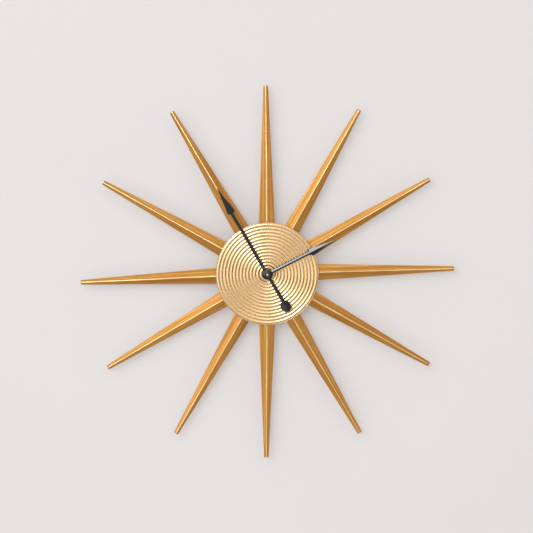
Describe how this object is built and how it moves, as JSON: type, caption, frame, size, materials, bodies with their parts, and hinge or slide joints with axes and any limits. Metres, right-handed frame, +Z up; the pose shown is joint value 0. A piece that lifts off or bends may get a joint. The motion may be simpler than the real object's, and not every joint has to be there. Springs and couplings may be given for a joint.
{
  "type": "sunburst wall clock",
  "caption": "Wall clock with folded gold rays round a ringed dial, two black spade hands and a battery quartz movement with its whole wheel train.",
  "frame": {"origin": "on the wall, at the centre of the round entry of the hanger's keyhole, 41 mm above the hands' axis", "axes": "+Z up, -Y out of the dial towards the room, +Y into the wall, +X to the right seen from the room"},
  "size_m": [0.5998, 0.0468, 0.6],
  "materials": {
    "ray_gold": "satin metallic gold paint",
    "dial_gold": "satin champagne gold lacquer on pressed rings",
    "hand_black": "semi-gloss black paint",
    "plate_black": "matt black powder coat",
    "zinc_steel": "bright zinc plating",
    "brass": "turned brass",
    "black_rubber": "matt moulded rubber",
    "case_black": "fine spark-eroded texture",
    "wheel_white": "moulded acetal",
    "rotor_blue": "moulded acetal",
    "magnet_grey": "sintered, fine-grained",
    "motor_steel": "punched soft iron",
    "copper_wire": "enamelled winding wire",
    "board_green": "solder resist",
    "chip_black": "poured epoxy",
    "crystal_steel": "drawn can",
    "battery_steel": "nickel-plated can",
    "battery_green": "shrunk plastic film",
    "contact_nickel": "nickel-plated spring strip"
  },
  "bodies": {
    "frame": {"ray_01": "ray_gold", "ray_02": "ray_gold", "ray_03": "ray_gold", "ray_04": "ray_gold", "ray_05": "ray_gold", "ray_06": "ray_gold", "ray_07": "ray_gold", "ray_08": "ray_gold", "ray_09": "ray_gold", "ray_10": "ray_gold", "ray_11": "ray_gold", "ray_12": "ray_gold", "ray_plate": "plate_black", "ray_rivets": "zinc_steel", "dial": "dial_gold", "dial_posts": "zinc_steel", "dial_screws": "zinc_steel", "hanger": "zinc_steel", "hanger_rivets": "zinc_steel", "spacer_legs": "zinc_steel", "leg_screws": "zinc_steel", "rubber_feet": "black_rubber", "movement_case": "case_black", "movement_cover": "case_black", "cover_screws": "zinc_steel", "mid_plate": "wheel_white", "gasket": "black_rubber", "threaded_bushing": "brass", "dial_washer": "zinc_steel", "dial_nut": "brass", "stator": "motor_steel", "coil_core": "motor_steel", "coil_bobbin": "rotor_blue", "coil_winding": "copper_wire", "circuit_board": "board_green", "chip_cover": "chip_black", "crystal_can": "crystal_steel", "battery_can": "battery_steel", "battery_jacket": "battery_green", "contact_positive": "contact_nickel", "contact_negative": "contact_nickel"},
    "minute_arbor": {"minute_wheel": "brass", "minute_boss": "hand_black", "minute_hand": "hand_black", "hand_nut": "hand_black"},
    "hour_arbor": {"hour_wheel": "wheel_white", "hour_collet": "hand_black", "hour_hand": "hand_black"},
    "setting_arbor": {"setting_wheel": "wheel_white", "setting_knob": "wheel_white"},
    "third_arbor": {"third_wheel": "wheel_white"},
    "seconds_arbor": {"seconds_wheel": "brass"},
    "intermediate_arbor": {"intermediate_wheel": "wheel_white"},
    "rotor": {"rotor_pinion": "rotor_blue", "rotor_magnet": "magnet_grey"}
  },
  "joints": [
    {"name": "minute_turn", "type": "hinge", "parent": "frame", "child": "minute_arbor", "pos_m": [0, 0, -0.041], "axis": [0, 1, 0], "continuous": true},
    {"name": "hour_turn", "type": "hinge", "parent": "frame", "child": "hour_arbor", "pos_m": [0, 0, -0.041], "axis": [0, 1, 0], "continuous": true},
    {"name": "setting_turn", "type": "hinge", "parent": "frame", "child": "setting_arbor", "pos_m": [-0.01182, 0, -0.03892], "axis": [0, 1, 0], "continuous": true},
    {"name": "third_turn", "type": "hinge", "parent": "frame", "child": "third_arbor", "pos_m": [0.00862, 0, -0.03377], "axis": [0, 1, 0], "continuous": true},
    {"name": "seconds_turn", "type": "hinge", "parent": "frame", "child": "seconds_arbor", "pos_m": [0, 0, -0.041], "axis": [0, 1, 0], "continuous": true},
    {"name": "intermediate_turn", "type": "hinge", "parent": "frame", "child": "intermediate_arbor", "pos_m": [-0.00299, 0, -0.02984], "axis": [0, 1, 0], "continuous": true},
    {"name": "rotor_turn", "type": "hinge", "parent": "frame", "child": "rotor", "pos_m": [0.00001, 0, -0.02465], "axis": [0, 1, 0], "continuous": true}
  ],
  "couplings": [
    {"joint": "hour_turn", "follows": "minute_turn", "ratio": 0.083333},
    {"joint": "setting_turn", "follows": "minute_turn", "ratio": -0.33333},
    {"joint": "third_turn", "follows": "minute_turn", "ratio": -8},
    {"joint": "seconds_turn", "follows": "minute_turn", "ratio": 60},
    {"joint": "intermediate_turn", "follows": "minute_turn", "ratio": -360},
    {"joint": "rotor_turn", "follows": "minute_turn", "ratio": 1800}
  ]
}
